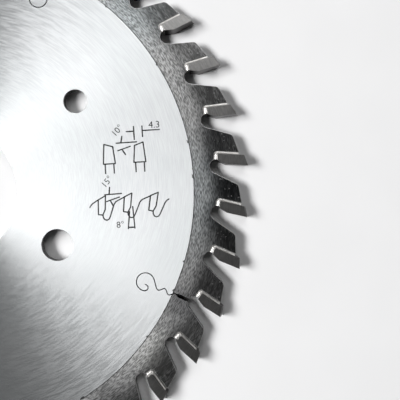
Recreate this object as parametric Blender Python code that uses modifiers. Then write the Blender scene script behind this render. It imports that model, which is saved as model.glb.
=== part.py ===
"""Conical scoring saw blade, 200 mm across, with 36 brazed carbide tips.

The blade lies flat with its axis on Z. The origin is the centre of the bore, halfway through the plate, and
tooth 1 has its cutting corner on +X. Seen from +Z the blade turns clockwise, so a tooth's own frame counts
"out" from the axis and "ahead" in the clockwise direction. The rake frame of a tooth starts at its cutting
corner and counts "depth" inwards along the rake face and "behind" square to it, into the tip.
"""

import math

import bmesh
import bpy
from mathutils import Matrix, Vector

MM = 0.001

# Whole blade
CUTTING_DIAMETER = 200.0 * MM
PLATE_THICKNESS = 3.2 * MM
TOOTH_COUNT = 36
BORE_DIAMETER = 45.0 * MM

# Hub face, ground flat and left a little proud of the rim
GROUND_FACE_DIAMETER = 163.0 * MM
RIM_RELIEF = 0.1 * MM

# Drive-pin holes, one pair on each pitch circle
OUTER_PIN_DIAMETER = 7.8 * MM
OUTER_PIN_CIRCLE = 104.0 * MM
OUTER_PIN_ANGLE = math.radians(31.0)
INNER_PIN_DIAMETER = 10.5 * MM
INNER_PIN_CIRCLE = 79.5 * MM
INNER_PIN_ANGLE = math.radians(-31.0)
HOLES_IN_PAIR = 2

# Carbide tip, wider at its root than at its edge
KERF_AT_EDGE = 4.3 * MM
KERF_AT_ROOT = 5.5 * MM
TIP_LENGTH = 10.3 * MM
TIP_THICKNESS = 3.4 * MM
TIP_CHAMFER_LENGTH = 2.9 * MM
TIP_CHAMFER_DEPTH = 1.15 * MM
TIP_FOOT_RADIUS = 0.6 * MM
HOOK_ANGLE = math.radians(8.0)
CLEARANCE_ANGLE = math.radians(15.0)
BEVEL_ANGLE = math.radians(10.0)
SIDE_CLEARANCE_ANGLE = math.radians(1.5)

# Brazed joint between a tip and its seat
TIP_CLEARANCE = 0.3 * MM
BRAZE_BEHIND_TIP = 0.5 * MM
BRAZE_UNDER_TIP = 0.9 * MM
BRAZE_HEIGHT = 0.35 * MM
BRAZE_BITE = 0.2 * MM
BRAZE_END_SETBACK = 0.35 * MM

# Seat, gullet and back of each tooth
SEAT_CORNER_RADIUS = 1.0 * MM
GULLET_RADIUS = 2.45 * MM
GULLET_AHEAD_OF_RAKE = 0.75 * MM
GULLET_WALL_ANGLE = math.radians(31.0)
TOOTH_BACK_DROP = 1.25 * MM
SHOULDER_RADIUS = 1.8 * MM

# Expansion slots, each a wide mouth, a wavy neck, a loop and a curl
SLOT_COUNT = 4
FIRST_SLOTTED_TOOTH = 3
SLOT_MOUTH_WIDTH = 1.0 * MM
SLOT_MOUTH_DEPTH = 3.8 * MM
SLOT_NECK_LENGTH = 1.0 * MM
SLOT_WIDTH = 0.35 * MM
SLOT_WAVE_LENGTH = 3.9 * MM
SLOT_WAVE_HEIGHT = 1.35 * MM
SLOT_WAVE_SHIFT = 0.25 * MM
SLOT_WAVE_COUNT = 1.75
SLOT_LOOP_RADIUS = 3.0 * MM
SLOT_LOOP_DROP = 4.0 * MM
SLOT_LOOP_SHIFT = 0.35 * MM
SLOT_LOOP_END = math.radians(-290.0)
SLOT_CURL_RADIUS = 1.05 * MM
SLOT_CURL_SWEEP = math.radians(180.0)

# Facets: the widest step of an arc, and the sides of the round features
ARC_STEP = math.radians(17.0)
BORE_SIDES = 96
PIN_HOLE_SIDES = 32
GROUND_FACE_SIDES = 144
STEPS_IN_WAVE = 8
SMOOTH_ANGLE = math.radians(32.0)

# How far a cutter or a blank reaches past what it cuts
OVERRUN = 1.0 * MM
WELD_DISTANCE = 0.001 * MM
FLAT_ANGLE = math.radians(0.05)

CUTTING_RADIUS = CUTTING_DIAMETER / 2
PITCH_ANGLE = 2 * math.pi / TOOTH_COUNT
RIM_THICKNESS = PLATE_THICKNESS - 2 * RIM_RELIEF
SEAT_DEPTH = TIP_LENGTH + TIP_CLEARANCE + BRAZE_UNDER_TIP
SEAT_BEHIND = TIP_THICKNESS + TIP_CLEARANCE + BRAZE_BEHIND_TIP
CUTTING_CORNER = Vector((CUTTING_RADIUS, 0.0))


# Plane geometry in a tooth's own frame

def heading(angle):
    """Unit vector at an angle from outwards, turning towards ahead."""
    return Vector((math.cos(angle), math.sin(angle)))


def rake_point(depth, behind):
    """A point of the rake frame, counted from the cutting corner."""
    inwards = -heading(HOOK_ANGLE)
    backwards = heading(HOOK_ANGLE - math.pi / 2)
    return depth * inwards + behind * backwards


def crossing(start, direction, other_start, other_direction):
    """The point where two straight lines meet."""
    share = (other_start - start).cross(other_direction) / direction.cross(other_direction)
    return start + share * direction


def arc(centre, radius, start_angle, sweep):
    """Points along an arc, with both ends."""
    steps = max(2, math.ceil(abs(sweep) / ARC_STEP))
    return [centre + radius * heading(start_angle + sweep * step / steps) for step in range(steps + 1)]


def rounded(before, corner, after, radius):
    """The arc that rounds a corner between two straight runs."""
    towards_before = (before - corner).normalized()
    towards_after = (after - corner).normalized()
    half_angle = towards_before.angle(towards_after) / 2
    centre = corner + (towards_before + towards_after).normalized() * radius / math.sin(half_angle)
    first = corner + towards_before * radius / math.tan(half_angle) - centre
    last = corner + towards_after * radius / math.tan(half_angle) - centre
    start_angle = math.atan2(first.y, first.x)
    sweep = math.remainder(math.atan2(last.y, last.x) - start_angle, 2 * math.pi)
    return arc(centre, radius, start_angle, sweep)


def circle(centre, radius, sides):
    """A closed ring of points."""
    return [centre + radius * heading(2 * math.pi * side / sides) for side in range(sides)]


def in_first_tooth(point):
    """A point of a tooth's frame, in the XY of tooth 1, where ahead is -Y."""
    return Vector((point.x, -point.y))


def in_blade(point, tooth):
    """A point of a tooth's frame, in the blade's own XY."""
    return Matrix.Rotation(-tooth * PITCH_ANGLE, 2) @ in_first_tooth(point)


# Solids and objects

def collection(name):
    """A new collection of the scene."""
    made = bpy.data.collections.new(name)
    bpy.context.scene.collection.children.link(made)
    return made


def flat_mesh(name, outlines, thickness):
    """A plate of even thickness, centred on Z, from closed outlines; the inner ones are holes."""
    curve = bpy.data.curves.new(name, "CURVE")
    curve.dimensions = "2D"
    curve.fill_mode = "BOTH"
    curve.extrude = thickness / 2
    for outline in outlines:
        spline = curve.splines.new("POLY")
        spline.points.add(len(outline) - 1)
        for spot, point in zip(spline.points, outline):
            spot.co = (point.x, point.y, 0.0, 1.0)
        spline.use_cyclic_u = True
    holder = bpy.data.objects.new(name, curve)
    bpy.context.scene.collection.objects.link(holder)
    evaluated = holder.evaluated_get(bpy.context.evaluated_depsgraph_get())
    mesh = bpy.data.meshes.new_from_object(evaluated)
    bpy.data.objects.remove(holder)
    bpy.data.curves.remove(curve)
    body = bmesh.new()
    body.from_mesh(mesh)
    bmesh.ops.remove_doubles(body, verts=body.verts, dist=WELD_DISTANCE)
    bmesh.ops.dissolve_limit(body, angle_limit=FLAT_ANGLE, verts=body.verts, edges=body.edges)
    bmesh.ops.recalc_face_normals(body, faces=body.faces)
    body.to_mesh(mesh)
    body.free()
    mesh.name = name
    return mesh


def metal(name, colour, roughness):
    """A plain metal."""
    material = bpy.data.materials.new(name)
    material.use_nodes = True
    shader = material.node_tree.nodes["Principled BSDF"]
    shader.inputs["Base Color"].default_value = (*colour, 1.0)
    shader.inputs["Metallic"].default_value = 1.0
    shader.inputs["Roughness"].default_value = roughness
    return material


def boolean(target, operation, cutter):
    """Join or cut a solid with another, which is then hidden."""
    modifier = target.modifiers.new(cutter.name, "BOOLEAN")
    modifier.operation = operation
    modifier.solver = "EXACT"
    modifier.object = cutter
    cutter.hide_render = True
    cutter.display_type = "WIRE"


# Expansion slot

def slot_path(mouth_end):
    """The middle line of a slot's narrow part, from the end of its mouth to the end of its curl."""
    wave_start = mouth_end - Vector((SLOT_NECK_LENGTH, SLOT_WAVE_SHIFT))
    wave_steps = round(SLOT_WAVE_COUNT * STEPS_IN_WAVE)
    path = [mouth_end]
    for step in range(wave_steps + 1):
        waves = step / STEPS_IN_WAVE
        sideways = SLOT_WAVE_HEIGHT / 2 * (1 - math.cos(2 * math.pi * waves))
        path.append(wave_start + Vector((-waves * SLOT_WAVE_LENGTH, sideways)))
    wave_end = path[-1]
    loop_centre = Vector((wave_end.x - SLOT_LOOP_DROP, mouth_end.y + SLOT_LOOP_SHIFT))
    to_wave_end = wave_end - loop_centre
    loop_start = math.atan2(to_wave_end.y, to_wave_end.x) - math.acos(SLOT_LOOP_RADIUS / to_wave_end.length)
    path += arc(loop_centre, SLOT_LOOP_RADIUS, loop_start, SLOT_LOOP_END - loop_start)
    curl_centre = loop_centre + (SLOT_LOOP_RADIUS - SLOT_CURL_RADIUS) * heading(SLOT_LOOP_END)
    path += arc(curl_centre, SLOT_CURL_RADIUS, SLOT_LOOP_END, -SLOT_CURL_SWEEP)[1:]
    return path


def beside(path, distance):
    """A path moved sideways by a distance, positive towards ahead on a run inwards."""
    moved = []
    for place, point in enumerate(path):
        before = path[max(place - 1, 0)]
        after = path[min(place + 1, len(path) - 1)]
        run = (after - before).normalized()
        moved.append(point + distance * Vector((run.y, -run.x)))
    return moved


def slot_edge(centre):
    """The slot's whole edge, from the gullet floor behind the mouth to the floor ahead of it."""
    half_mouth = SLOT_MOUTH_WIDTH / 2
    floor = centre.x - math.sqrt(GULLET_RADIUS ** 2 - half_mouth ** 2)
    mouth_end = Vector((centre.x - GULLET_RADIUS - SLOT_MOUTH_DEPTH, centre.y))
    path = slot_path(mouth_end)
    edge = [Vector((floor, centre.y - half_mouth)), mouth_end - Vector((0.0, half_mouth))]
    edge += beside(path, -SLOT_WIDTH / 2)
    edge += reversed(beside(path, SLOT_WIDTH / 2))
    edge += [mouth_end + Vector((0.0, half_mouth)), Vector((floor, centre.y + half_mouth))]
    return edge


# Plate

def back_line():
    """A point and the direction of a tooth's back, which falls away behind the tip."""
    direction = -heading(math.pi / 2 - CLEARANCE_ANGLE)
    return CUTTING_CORNER - TOOTH_BACK_DROP * heading(-CLEARANCE_ANGLE), direction


def seat_top_depth():
    """How deep in the rake frame the wall of a seat meets the back of its tooth."""
    start, direction = back_line()
    wall = CUTTING_CORNER + rake_point(0.0, SEAT_BEHIND)
    top = crossing(wall, heading(HOOK_ANGLE), start, direction)
    return (wall - top).dot(heading(HOOK_ANGLE))


def gullet_floor(centre, start_angle, end_angle, slotted):
    """The round bottom of a gullet, opened for a slot where the tooth has one."""
    if not slotted:
        return arc(centre, GULLET_RADIUS, start_angle, end_angle - start_angle)
    half_opening = math.asin(SLOT_MOUTH_WIDTH / 2 / GULLET_RADIUS)
    behind_mouth = math.pi + half_opening
    ahead_of_mouth = math.pi - half_opening
    floor = arc(centre, GULLET_RADIUS, start_angle, behind_mouth - start_angle)[:-1]
    floor += slot_edge(centre)
    floor += arc(centre, GULLET_RADIUS, ahead_of_mouth, end_angle - ahead_of_mouth)[1:]
    return floor


def tooth_edge(slotted):
    """One tooth of the plate's edge: seat, gullet and the shoulder of the tooth ahead."""
    seat_top = CUTTING_CORNER + rake_point(seat_top_depth(), SEAT_BEHIND)
    seat_corner = CUTTING_CORNER + rake_point(SEAT_DEPTH, SEAT_BEHIND)
    centre = CUTTING_CORNER + rake_point(TIP_LENGTH, -GULLET_AHEAD_OF_RAKE)
    floor_below_centre = SEAT_DEPTH - TIP_LENGTH
    floor_behind = math.sqrt(GULLET_RADIUS ** 2 - floor_below_centre ** 2) - GULLET_AHEAD_OF_RAKE
    seat_front = CUTTING_CORNER + rake_point(SEAT_DEPTH, floor_behind)
    to_seat_front = seat_front - centre
    start_angle = math.atan2(to_seat_front.y, to_seat_front.x) % (2 * math.pi)
    end_angle = GULLET_WALL_ANGLE + math.pi / 2
    wall_start = centre + GULLET_RADIUS * heading(end_angle)
    back_point, back_direction = back_line()
    one_tooth_on = Matrix.Rotation(PITCH_ANGLE, 2)
    next_back_point = one_tooth_on @ back_point
    next_back_direction = one_tooth_on @ back_direction
    shoulder = crossing(wall_start, heading(GULLET_WALL_ANGLE), next_back_point, next_back_direction)
    edge = [seat_top]
    edge += rounded(seat_top, seat_corner, seat_front, SEAT_CORNER_RADIUS)
    edge += gullet_floor(centre, start_angle, end_angle, slotted)
    edge += rounded(wall_start, shoulder, next_back_point, SHOULDER_RADIUS)
    return edge


def plate_outlines():
    """The plate's toothed edge, then its bore and pin holes."""
    slotted_teeth = [FIRST_SLOTTED_TOOTH + slot * TOOTH_COUNT // SLOT_COUNT for slot in range(SLOT_COUNT)]
    rim = []
    for tooth in range(TOOTH_COUNT):
        rim += [in_blade(point, tooth) for point in tooth_edge(tooth in slotted_teeth)]
    outlines = [rim, circle(Vector((0.0, 0.0)), BORE_DIAMETER / 2, BORE_SIDES)]
    pairs = (
        (OUTER_PIN_DIAMETER, OUTER_PIN_CIRCLE, OUTER_PIN_ANGLE),
        (INNER_PIN_DIAMETER, INNER_PIN_CIRCLE, INNER_PIN_ANGLE),
    )
    for diameter, pitch_circle, angle in pairs:
        for hole in range(HOLES_IN_PAIR):
            centre = pitch_circle / 2 * heading(angle + 2 * math.pi * hole / HOLES_IN_PAIR)
            outlines.append(circle(centre, diameter / 2, PIN_HOLE_SIDES))
    return outlines


def rim_relief_cutter(name, cutters, side):
    """A turned ring that takes the rim down on one side of the plate."""
    inner = GROUND_FACE_DIAMETER / 2
    outer = CUTTING_RADIUS + OVERRUN
    near = side * RIM_THICKNESS / 2
    far = side * (PLATE_THICKNESS / 2 + OVERRUN)
    low, high = sorted((near, far))
    mesh = bpy.data.meshes.new(name)
    body = bmesh.new()
    corners = [(outer, high), (outer, low), (inner, low), (inner, high)]
    ring = [body.verts.new((out, 0.0, height)) for out, height in corners]
    for place, corner in enumerate(ring):
        body.edges.new((corner, ring[(place + 1) % len(ring)]))
    body.to_mesh(mesh)
    body.free()
    cutter = bpy.data.objects.new(name, mesh)
    cutters.objects.link(cutter)
    screw = cutter.modifiers.new("turn", "SCREW")
    screw.axis = "Z"
    screw.steps = GROUND_FACE_SIDES
    screw.render_steps = GROUND_FACE_SIDES
    screw.use_merge_vertices = True
    screw.merge_threshold = WELD_DISTANCE
    return cutter


def braze_outline():
    """The solder behind and under one tip, as seen from the side of the blade."""
    top_depth = seat_top_depth() + BRAZE_BITE
    end_behind = TIP_CHAMFER_DEPTH + BRAZE_END_SETBACK
    tip_behind = TIP_THICKNESS + TIP_CLEARANCE
    tip_depth = TIP_LENGTH + TIP_CLEARANCE
    plate_behind = SEAT_BEHIND + BRAZE_BITE
    plate_depth = SEAT_DEPTH + BRAZE_BITE
    inner_top = rake_point(top_depth, tip_behind)
    inner_end = rake_point(tip_depth, end_behind)
    outer_end = rake_point(plate_depth, end_behind)
    outer_top = rake_point(top_depth, plate_behind)
    tip_corner = rake_point(tip_depth, tip_behind)
    plate_corner = rake_point(plate_depth, plate_behind)
    outline = [inner_top]
    outline += rounded(inner_top, tip_corner, inner_end, TIP_FOOT_RADIUS + TIP_CLEARANCE)
    outline += [inner_end, outer_end]
    outline += rounded(outer_end, plate_corner, outer_top, SEAT_CORNER_RADIUS + BRAZE_BITE)
    outline.append(outer_top)
    return [CUTTING_CORNER + point for point in outline]


def make_plate(parts, cutters, material):
    """The steel plate with the solder of every joint fused to it."""
    plate = bpy.data.objects.new("blade_plate", flat_mesh("blade_plate", plate_outlines(), PLATE_THICKNESS))
    parts.objects.link(plate)
    plate.data.materials.append(material)
    boolean(plate, "DIFFERENCE", rim_relief_cutter("upper_rim_relief", cutters, 1))
    boolean(plate, "DIFFERENCE", rim_relief_cutter("lower_rim_relief", cutters, -1))
    outlines = [[in_blade(point, tooth) for point in braze_outline()] for tooth in range(TOOTH_COUNT)]
    braze_mesh = flat_mesh("braze_seams", outlines, RIM_THICKNESS + 2 * BRAZE_HEIGHT)
    braze = bpy.data.objects.new("braze_seams", braze_mesh)
    cutters.objects.link(braze)
    boolean(plate, "UNION", braze)
    plate.data.shade_smooth()
    plate.data.set_sharp_from_angle(angle=SMOOTH_ANGLE)


# Carbide tips

def grind(body, point, normal):
    """Take away what lies beyond a plane and close the ground face."""
    everything = body.verts[:] + body.edges[:] + body.faces[:]
    cut = bmesh.ops.bisect_plane(body, geom=everything, plane_co=point, plane_no=normal, clear_outer=True)
    rim = [item for item in cut["geom_cut"] if isinstance(item, bmesh.types.BMEdge)]
    bmesh.ops.edgeloop_fill(body, edges=rim)


def tip_mesh(name, high_side, material):
    """A tip about its cutting corner, ground from a blank: two tapered sides, then a bevelled top."""
    foot = rake_point(TIP_LENGTH, TIP_THICKNESS)
    chamfer_foot = rake_point(TIP_LENGTH, TIP_CHAMFER_DEPTH)
    blank_back = rake_point(-OVERRUN, TIP_THICKNESS)
    outline = [rake_point(-OVERRUN, 0.0), rake_point(TIP_LENGTH - TIP_CHAMFER_LENGTH, 0.0), chamfer_foot]
    outline += rounded(chamfer_foot, foot, blank_back, TIP_FOOT_RADIUS)
    outline.append(blank_back)
    outline = [in_first_tooth(point) for point in outline]
    mesh = flat_mesh(name, [outline], KERF_AT_ROOT + 2 * OVERRUN)
    body = bmesh.new()
    body.from_mesh(mesh)
    flare = (KERF_AT_ROOT - KERF_AT_EDGE) / 2 / TIP_LENGTH
    lean = flare * heading(HOOK_ANGLE) + math.tan(SIDE_CLEARANCE_ANGLE) * heading(HOOK_ANGLE - math.pi / 2)
    for side in (1, -1):
        grind(body, (0.0, 0.0, side * KERF_AT_EDGE / 2), (*in_first_tooth(lean), side))
    top = (*in_first_tooth(Vector((1.0, -math.tan(CLEARANCE_ANGLE)))), -high_side * math.tan(BEVEL_ANGLE))
    grind(body, (0.0, 0.0, high_side * KERF_AT_EDGE / 2), top)
    bmesh.ops.recalc_face_normals(body, faces=body.faces)
    body.to_mesh(mesh)
    body.free()
    mesh.materials.append(material)
    return mesh


def make_tips(parts, material):
    """One tip in each seat, bevelled to alternate sides."""
    meshes = (tip_mesh("tip_high_above", 1, material), tip_mesh("tip_high_below", -1, material))
    for tooth in range(TOOTH_COUNT):
        tip = bpy.data.objects.new(f"carbide_tip_{tooth + 1:02d}", meshes[tooth % 2])
        parts.objects.link(tip)
        tip.location = (*in_blade(CUTTING_CORNER, tooth), 0.0)
        tip.rotation_euler.z = -tooth * PITCH_ANGLE


def main():
    for old in list(bpy.data.objects):
        bpy.data.objects.remove(old)
    parts = collection("scoring_saw_blade")
    cutters = collection("cutters")
    steel = metal("ground_steel", (0.62, 0.62, 0.61), 0.32)
    carbide = metal("sintered_carbide", (0.24, 0.24, 0.25), 0.42)
    make_plate(parts, cutters, steel)
    make_tips(parts, carbide)


main()
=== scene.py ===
"""Looks of the scoring saw blade: ground steel, brazed carbide tips and the printed tooth sketches.

Lengths are in metres, in the blade's own frame: axis on Z, tooth 1 on +X, and "ahead" clockwise seen from +Z.
The rake frame of a tooth starts at its cutting corner and counts "depth" inwards along the rake face and
"behind" square to it, into the tip.
"""

import math
import random

import bmesh
import bpy
from mathutils import Matrix, Quaternion, Vector


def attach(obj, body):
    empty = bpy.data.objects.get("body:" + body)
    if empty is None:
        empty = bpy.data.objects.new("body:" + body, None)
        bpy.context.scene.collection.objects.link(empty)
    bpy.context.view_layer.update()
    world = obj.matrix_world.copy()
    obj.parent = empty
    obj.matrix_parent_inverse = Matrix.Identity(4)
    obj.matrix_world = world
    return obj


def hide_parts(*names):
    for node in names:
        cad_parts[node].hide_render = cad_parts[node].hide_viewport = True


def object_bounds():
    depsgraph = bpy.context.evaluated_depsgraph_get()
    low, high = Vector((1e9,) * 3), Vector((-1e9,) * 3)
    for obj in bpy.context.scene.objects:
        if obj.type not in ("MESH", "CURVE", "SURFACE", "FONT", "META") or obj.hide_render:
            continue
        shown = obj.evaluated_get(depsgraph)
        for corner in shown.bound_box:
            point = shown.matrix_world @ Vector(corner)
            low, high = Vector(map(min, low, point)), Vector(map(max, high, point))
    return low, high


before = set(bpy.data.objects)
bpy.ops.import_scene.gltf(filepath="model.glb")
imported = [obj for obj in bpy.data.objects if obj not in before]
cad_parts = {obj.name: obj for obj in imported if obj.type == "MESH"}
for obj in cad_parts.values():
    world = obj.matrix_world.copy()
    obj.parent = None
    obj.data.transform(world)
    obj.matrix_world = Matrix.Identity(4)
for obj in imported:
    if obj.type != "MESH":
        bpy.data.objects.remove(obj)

MM = 0.001
BODY = "root"
CAD_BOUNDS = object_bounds()

# Plate, as the solids have it
PLATE_THICKNESS = 3.2 * MM
TOOTH_COUNT = 36
CUTTING_RADIUS = 100.0 * MM
BORE_DIAMETER = 45.0 * MM
GROUND_FACE_RADIUS = 81.5 * MM
RIM_RELIEF = 0.1 * MM
PIN_HOLES = (
    (7.8 * MM, 52.0 * MM, math.radians(31.0)),
    (7.8 * MM, 52.0 * MM, math.radians(211.0)),
    (10.5 * MM, 39.75 * MM, math.radians(-31.0)),
    (10.5 * MM, 39.75 * MM, math.radians(149.0)),
)

# Tips, seats and gullets, as the solids have them
KERF_AT_EDGE = 4.3 * MM
KERF_AT_ROOT = 5.5 * MM
TIP_LENGTH = 10.3 * MM
TIP_THICKNESS = 3.4 * MM
TIP_FOOT_RADIUS = 0.6 * MM
HOOK_ANGLE = math.radians(8.0)
CLEARANCE_ANGLE = math.radians(15.0)
SIDE_CLEARANCE_ANGLE = math.radians(1.5)
SEAT_DEPTH = 11.5 * MM
SEAT_BEHIND = 4.2 * MM
SEAT_CORNER_RADIUS = 1.0 * MM
GULLET_RADIUS = 2.45 * MM
GULLET_AHEAD_OF_RAKE = 0.75 * MM
GULLET_WALL_ANGLE = math.radians(31.0)
TOOTH_BACK_DROP = 1.25 * MM
SHOULDER_RADIUS = 1.8 * MM

# Expansion slots, as the solids have them
SLOTTED_TEETH = (3, 12, 21, 30)
SLOT_MOUTH_WIDTH = 1.0 * MM
SLOT_MOUTH_DEPTH = 3.8 * MM
SLOT_NECK_LENGTH = 1.0 * MM
SLOT_WIDTH = 0.35 * MM
SLOT_WAVE_LENGTH = 3.9 * MM
SLOT_WAVE_HEIGHT = 1.35 * MM
SLOT_WAVE_SHIFT = 0.25 * MM
SLOT_WAVE_COUNT = 1.75
SLOT_LOOP_RADIUS = 3.0 * MM
SLOT_LOOP_DROP = 4.0 * MM
SLOT_LOOP_SHIFT = 0.35 * MM
SLOT_LOOP_END = math.radians(-290.0)
SLOT_CURL_RADIUS = 1.05 * MM
SLOT_CURL_SWEEP = math.radians(180.0)

# Fineness of the dressed surfaces
ARC_STEP = math.radians(8.0)
STEPS_IN_WAVE = 16
BORE_SIDES = 180
PIN_HOLE_SIDES = 72
GROUND_FACE_SIDES = 288
EDGE_SEGMENTS = 2

# Small rounds on the edges, and between which distances from the axis the slots' edges stay sharp
PLATE_EDGE = 0.11 * MM
TIP_EDGE = 0.04 * MM
SHARP_SLOTS_FROM = 60.0 * MM
SHARP_SLOTS_TO = 83.2 * MM

# How vertices are welded, and how level faces, edges and the hub face's step are told
WELD_DISTANCE = 0.001 * MM
FINE_WELD_DISTANCE = WELD_DISTANCE / 10
FLAT_ANGLE = math.radians(0.05)
TIP_FLAT_ANGLE = math.radians(0.5)
TIP_EDGE_ANGLE = math.radians(22.0)
SHARP_ANGLE = math.radians(36.0)
LEVEL_NORMAL = 0.99
FLAT_FACE_WEIGHT = 100
STEP_TOLERANCE = 0.02 * MM

# How far a cutter reaches past what it cuts
OVERRUN = 1.0 * MM

# Solder of each joint: its ends, its spread and height, how hollow it is, and its fineness
BRAZE_END_BEHIND = 1.45 * MM
BRAZE_TOP_SETBACK = 0.08 * MM
BRAZE_BELOW_TIP_EDGE = 0.42 * MM
BRAZE_SPREAD = -0.2 * MM
BRAZE_FOOT_SPREAD = -0.05 * MM
BRAZE_FOOT_POWER = 3
BRAZE_END_SPREAD = -0.3 * MM
BRAZE_END_DROP = 0.55 * MM
BRAZE_SINK = 0.03 * MM
BRAZE_VARIATION = 0.02 * MM
BRAZE_RIPPLES = (1.2, 2.4)
BRAZE_HOLLOW = 1.9
BRAZE_FOOT_HOLLOW = 0.8
BRAZE_END_FILL = 1.2
BRAZE_END_POWER = 10
BRAZE_NOSE_POWER = 4
BRAZE_WALL_STEPS = 14
BRAZE_CORNER_STEPS = 8
BRAZE_FOOT_STEPS = 10
BRAZE_FILLET_STEPS = 6
BRAZE_SEED = 7

# Printed sketches: their middle and turn on the blade, the ink, how its strokes end, and the digits
PRINT_MIDDLE = Vector((58.5 * MM, 0.7 * MM))
PRINT_TURN = math.radians(-1.8)
INK_WIDTH = 0.43 * MM
INK_HEIGHT = 0.012 * MM
STROKE_END_SHARE = 0.7
DIGIT_SIZE = 3.2 * MM
DEGREE_DIGIT_SIZE = 3.0 * MM
DIGIT_CURVE_STEPS = 4

# Marks between which a noise is spread, and how softly scratches fade
CRISP_NOISE = (0.35, 0.65)
SOFT_NOISE = (0.3, 0.7)
SCRATCH_SOFTNESS = 0.12

# Hub face: centres of its arcs, their cells per radian and per metre, colours, and the painted shade along
# its edge towards the rim
HUB_ARC_CENTRES = ((0.0, 0.0), (9 * MM, 6 * MM))
HUB_ARC_CELLS = (11.0, 5200.0)
HUB_ARC_SWAY = 0.035
HUB_CLOUD_COLOURS = ((0.37, 0.383, 0.388, 1.0), (0.388, 0.398, 0.403, 1.0))
HUB_ARC_COLOUR = (0.25, 0.255, 0.26, 1.0)
HUB_EDGE_SHADE_RAGGEDNESS = 0.4 * MM
HUB_EDGE_SHADE_WIDTH = 0.1 * MM

# Rim: centres of its strokes, their cells, grey levels, where it turns smoother, the painted shade line at
# its step, and its patches of painted light and shade
RIM_STROKE_CENTRES = ((8 * MM, 0.0), (-4 * MM, 7 * MM), (-4 * MM, -7 * MM))
RIM_STROKE_CELLS = (70.0, 4400.0)
RIM_BAND_CELLS = (9.0, 800.0)
RIM_NEAR_LEVELS = (0.25, 0.73)
RIM_FAR_LEVELS = (0.11, 0.36)
RIM_SMOOTHER = (82.5 * MM, 93.0 * MM)
RIM_WANDER = 1.5 * MM
RIM_STEP_SHADE = (GROUND_FACE_RADIUS + 0.05 * MM, GROUND_FACE_RADIUS + 0.4 * MM)
PATCH_CORE = 2.0 * MM
PATCH_STRENGTH = 0.9

# Walls: grey levels, the painted highlight line along their rounded edges, and where painted shade blackens
# the slots' mouths
WALL_LEVELS = (0.16, 0.28)
EDGE_HIGHLIGHT_HALF_WIDTH = 0.02 * MM
EDGE_HIGHLIGHT_END = 0.01 * MM
MOUTH_SHADE_FROM = (82.4 * MM, 83.0 * MM)
MOUTH_SHADE_TO = (86.4 * MM, 86.9 * MM)

# Carbide's lines and grain, and the solder's bright and stained colours
CARBIDE_LINE_CELLS = (40.0, 2600.0)
CARBIDE_GRAIN_SHARE = 0.3
SILVER_COLOURS = ((0.62, 0.61, 0.59, 1.0), (0.42, 0.405, 0.38, 1.0))

# Paler and darker patches of the rim, painted light and shade set after the photograph: middle, reach and
# tint
RIM_PAINTED_LIGHT_AND_SHADE = (
    ((62.1 * MM, -58.8 * MM), 11 * MM, (1.8, 1.8, 1.76)),
    ((73.6 * MM, -44.0 * MM), 8 * MM, (0.6, 0.6, 0.61)),
    ((82.2 * MM, -36.6 * MM), 8 * MM, (0.78, 0.78, 0.78)),
    ((76.0 * MM, -52.0 * MM), 8 * MM, (1.6, 1.6, 1.6)),
    ((85.0 * MM, 42.5 * MM), 11 * MM, (1.7, 1.7, 1.7)),
    ((93.5 * MM, -6.5 * MM), 9 * MM, (0.22, 0.22, 0.23)),
    ((92.5 * MM, -24.0 * MM), 8 * MM, (0.4, 0.4, 0.4)),
    ((91.0 * MM, 10.5 * MM), 8 * MM, (0.55, 0.55, 0.56)),
    ((89.5 * MM, 1.5 * MM), 7 * MM, (0.45, 0.46, 0.47)),
    ((88.5 * MM, -15.5 * MM), 7 * MM, (0.5, 0.51, 0.52)),
    ((44.9 * MM, -72.4 * MM), 10 * MM, (0.6, 0.6, 0.6)),
    ((65.5 * MM, 55.3 * MM), 22 * MM, (0.93, 1.0, 1.02)),
    ((83.1 * MM, -8.4 * MM), 30 * MM, (0.95, 1.0, 1.02)),
)

# Camera: straight down, from where the photograph was taken
CAMERA_PLACE = Vector((82.97 * MM, -10.03 * MM, 178.0 * MM))
CAMERA_TURN = math.radians(-5.44)
CAMERA_LENS = 47.5
CAMERA_SENSOR = 36.0
CAMERA_CLIP_START = 0.01

# Surroundings: levels of light, between which heights the walls fade, and where the floor turns to backdrop
ROOM_LEVEL = 0.02
WALL_FADE = (0.15, 0.5)
BACKDROP_LEVEL = 0.9
FLOOR_FADE = (0.25, 0.6)

# Floor: half its size, its gap under the tips, its colours and its roughness
FLOOR_HALF_SIZE = 3.0
FLOOR_GAP = 0.01 * MM
FLOOR_COLOURS = ((0.9, 0.9, 0.905, 1.0), (0.92, 0.92, 0.925, 1.0))
FLOOR_ROUGHNESS = 0.8

WHITE = (1.0, 1.0, 1.0, 1.0)

CUTTING_CORNER = Vector((CUTTING_RADIUS, 0.0))
PITCH_ANGLE = 2 * math.pi / TOOTH_COUNT
RIM_TOP = PLATE_THICKNESS / 2 - RIM_RELIEF
HUB_TOP = PLATE_THICKNESS / 2


# Plane geometry in a tooth's own frame

def heading(angle):
    """Unit vector at an angle from outwards, turning towards ahead."""
    return Vector((math.cos(angle), math.sin(angle)))


def rake_point(depth, behind):
    """A point of the rake frame, counted from the cutting corner."""
    return behind * heading(HOOK_ANGLE - math.pi / 2) - depth * heading(HOOK_ANGLE)


def crossing(start, direction, other_start, other_direction):
    """The point where two straight lines meet."""
    share = (other_start - start).cross(other_direction) / direction.cross(other_direction)
    return start + share * direction


def arc(centre, radius, start_angle, sweep):
    """Points along an arc, with both ends."""
    steps = max(2, math.ceil(abs(sweep) / ARC_STEP))
    return [centre + radius * heading(start_angle + sweep * step / steps) for step in range(steps + 1)]


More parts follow.
